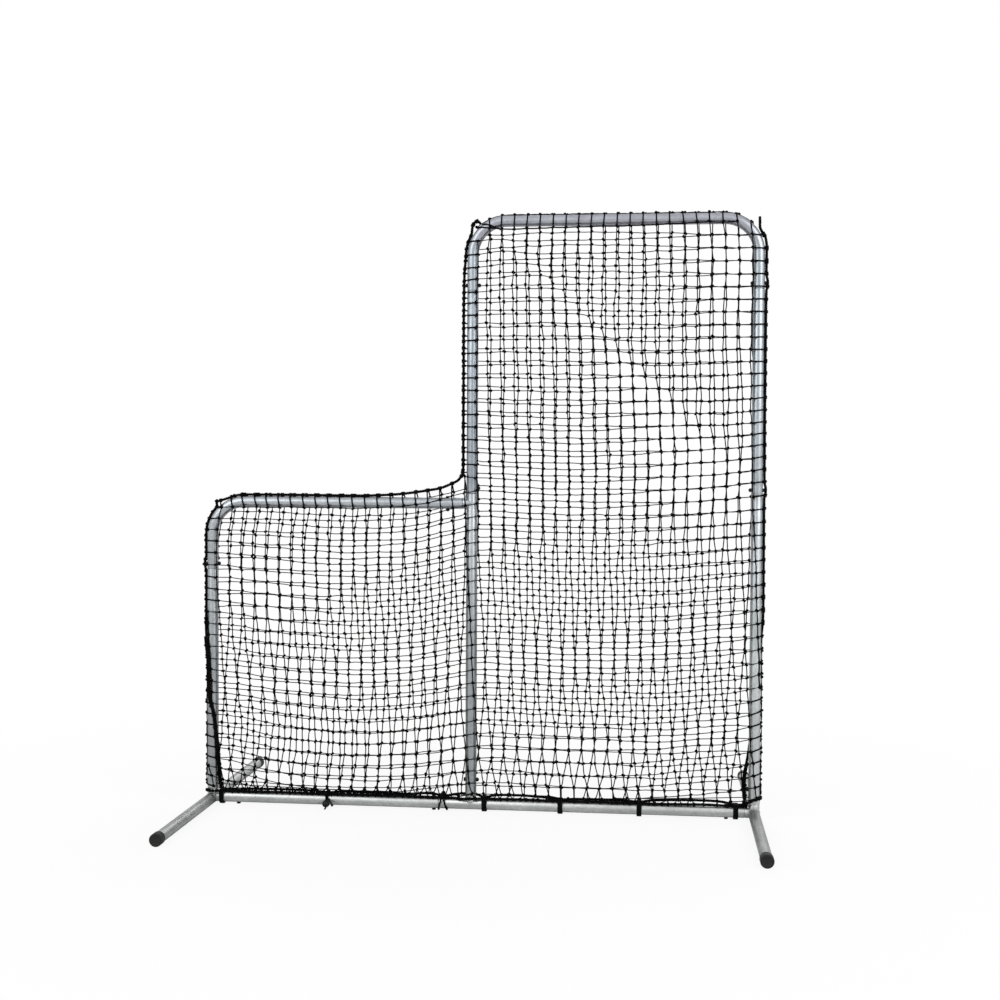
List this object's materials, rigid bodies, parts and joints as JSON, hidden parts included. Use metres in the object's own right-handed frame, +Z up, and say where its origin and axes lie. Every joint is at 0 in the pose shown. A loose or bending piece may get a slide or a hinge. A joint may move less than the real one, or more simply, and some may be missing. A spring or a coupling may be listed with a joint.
{
  "type": "baseball L screen",
  "caption": "L-shaped pitching screen: bolted tube frame on two long feet, a net on both faces, and a notch to throw over.",
  "frame": {"origin": "on the floor, under the middle of the screen between its outer lacing ropes, in the plane of the tube frame", "axes": "+Z up, +X from the low bay towards the tall bay, -Y towards the side seen in the picture"},
  "size_m": [2.0296, 1.219, 2.134],
  "materials": {
    "frame_tube": "galvanised, satin",
    "fastener": "black zinc, satin",
    "foot_cap": "moulded, satin",
    "net_twine": "knotted nylon twine",
    "lacing_rope": "braided rope",
    "webbing": "woven webbing",
    "tie_ball": "moulded, satin"
  },
  "bodies": {
    "root": {"left_foot": "frame_tube", "right_foot": "frame_tube", "left_floor_rail": "frame_tube", "right_floor_rail": "frame_tube", "left_upright": "frame_tube", "low_corner_rail": "frame_tube", "center_lower_post": "frame_tube", "center_upper_post": "frame_tube", "right_lower_post": "frame_tube", "right_upper_post": "frame_tube", "top_arch": "frame_tube", "bolt_left_post_base": "fastener", "bolt_left_corner": "fastener", "bolt_low_rail_end": "fastener", "bolt_center_post_base": "fastener", "bolt_center_post_splice": "fastener", "bolt_center_arch_leg": "fastener", "bolt_right_arch_leg": "fastener", "bolt_right_post_splice": "fastener", "bolt_right_post_base": "fastener", "bolt_left_rail_end": "fastener", "bolt_rail_splice": "fastener", "bolt_right_rail_end": "fastener", "nut_left_post_base": "fastener", "nut_left_corner": "fastener", "nut_low_rail_end": "fastener", "nut_center_post_base": "fastener", "nut_center_post_splice": "fastener", "nut_center_arch_leg": "fastener", "nut_right_arch_leg": "fastener", "nut_right_post_splice": "fastener", "nut_right_post_base": "fastener", "nut_left_rail_end": "fastener", "nut_rail_splice": "fastener", "nut_right_rail_end": "fastener", "left_front_cap": "foot_cap", "left_rear_cap": "foot_cap", "right_front_cap": "foot_cap", "right_rear_cap": "foot_cap", "net_front_tall": "net_twine", "net_front_low": "net_twine", "net_back_tall": "net_twine", "net_back_low": "net_twine", "seam_rope_left": "lacing_rope", "seam_rope_notch": "lacing_rope", "seam_rope_right": "lacing_rope", "hem_rope_front": "lacing_rope", "hem_rope_back": "lacing_rope", "hem_strap_1": "webbing", "hem_strap_2": "webbing", "hem_strap_3": "webbing", "hem_strap_4": "webbing", "hem_strap_5": "webbing", "ball_tie_loop": "lacing_rope", "ball_tie_ball": "tie_ball", "cord_tie": "lacing_rope"}
  },
  "joints": []
}
